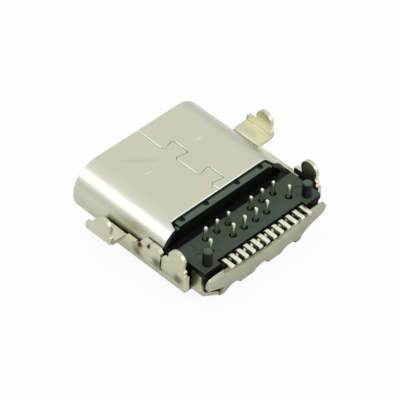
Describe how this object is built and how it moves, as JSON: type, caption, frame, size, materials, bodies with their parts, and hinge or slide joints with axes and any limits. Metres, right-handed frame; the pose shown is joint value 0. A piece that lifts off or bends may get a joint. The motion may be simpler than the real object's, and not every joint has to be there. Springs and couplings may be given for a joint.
{
  "type": "usb-c socket",
  "caption": "Board-mounted USB-C receptacle: oval metal shell with a zigzag seam, saddle cover with four legs, dark plastic base, solder pins and a row of tails.",
  "frame": {"origin": "middle of the box below the part, on the flat underside of the cover", "axes": "+Z towards the circuit board side with the pins and legs, -Y towards the mating opening, +X across"},
  "size_m": [0.0116, 0.0098, 0.0036],
  "materials": {
    "shell_metal": "satin nickel-plated sheet",
    "cover_metal": "satin sheet with weld marks",
    "housing_plastic": "matt moulded, glass-filled",
    "wafer_plastic": "matt moulded",
    "rim_plastic": "matt moulded",
    "latch_metal": "stamped, bare",
    "ground_metal": "stamped, bare",
    "contact_metal": "plated copper alloy, gold on the tongue and tin on the tails"
  },
  "bodies": {
    "root": {"shell": "shell_metal", "cover": "cover_metal", "housing": "housing_plastic", "upper_wafer": "wafer_plastic", "lower_wafer": "wafer_plastic", "tongue_rim": "rim_plastic", "latch_plate": "latch_metal", "upper_ground_plate": "ground_metal", "lower_ground_plate": "ground_metal", "tail_contact_01": "contact_metal", "tail_contact_02": "contact_metal", "tail_contact_03": "contact_metal", "tail_contact_04": "contact_metal", "tail_contact_05": "contact_metal", "tail_contact_06": "contact_metal", "tail_contact_07": "contact_metal", "tail_contact_08": "contact_metal", "tail_contact_09": "contact_metal", "tail_contact_10": "contact_metal", "tail_contact_11": "contact_metal", "tail_contact_12": "contact_metal", "pin_contact_01": "contact_metal", "pin_contact_02": "contact_metal", "pin_contact_03": "contact_metal", "pin_contact_04": "contact_metal", "pin_contact_05": "contact_metal", "pin_contact_06": "contact_metal", "pin_contact_07": "contact_metal", "pin_contact_08": "contact_metal", "pin_contact_09": "contact_metal", "pin_contact_10": "contact_metal", "pin_contact_11": "contact_metal", "pin_contact_12": "contact_metal"}
  },
  "joints": []
}
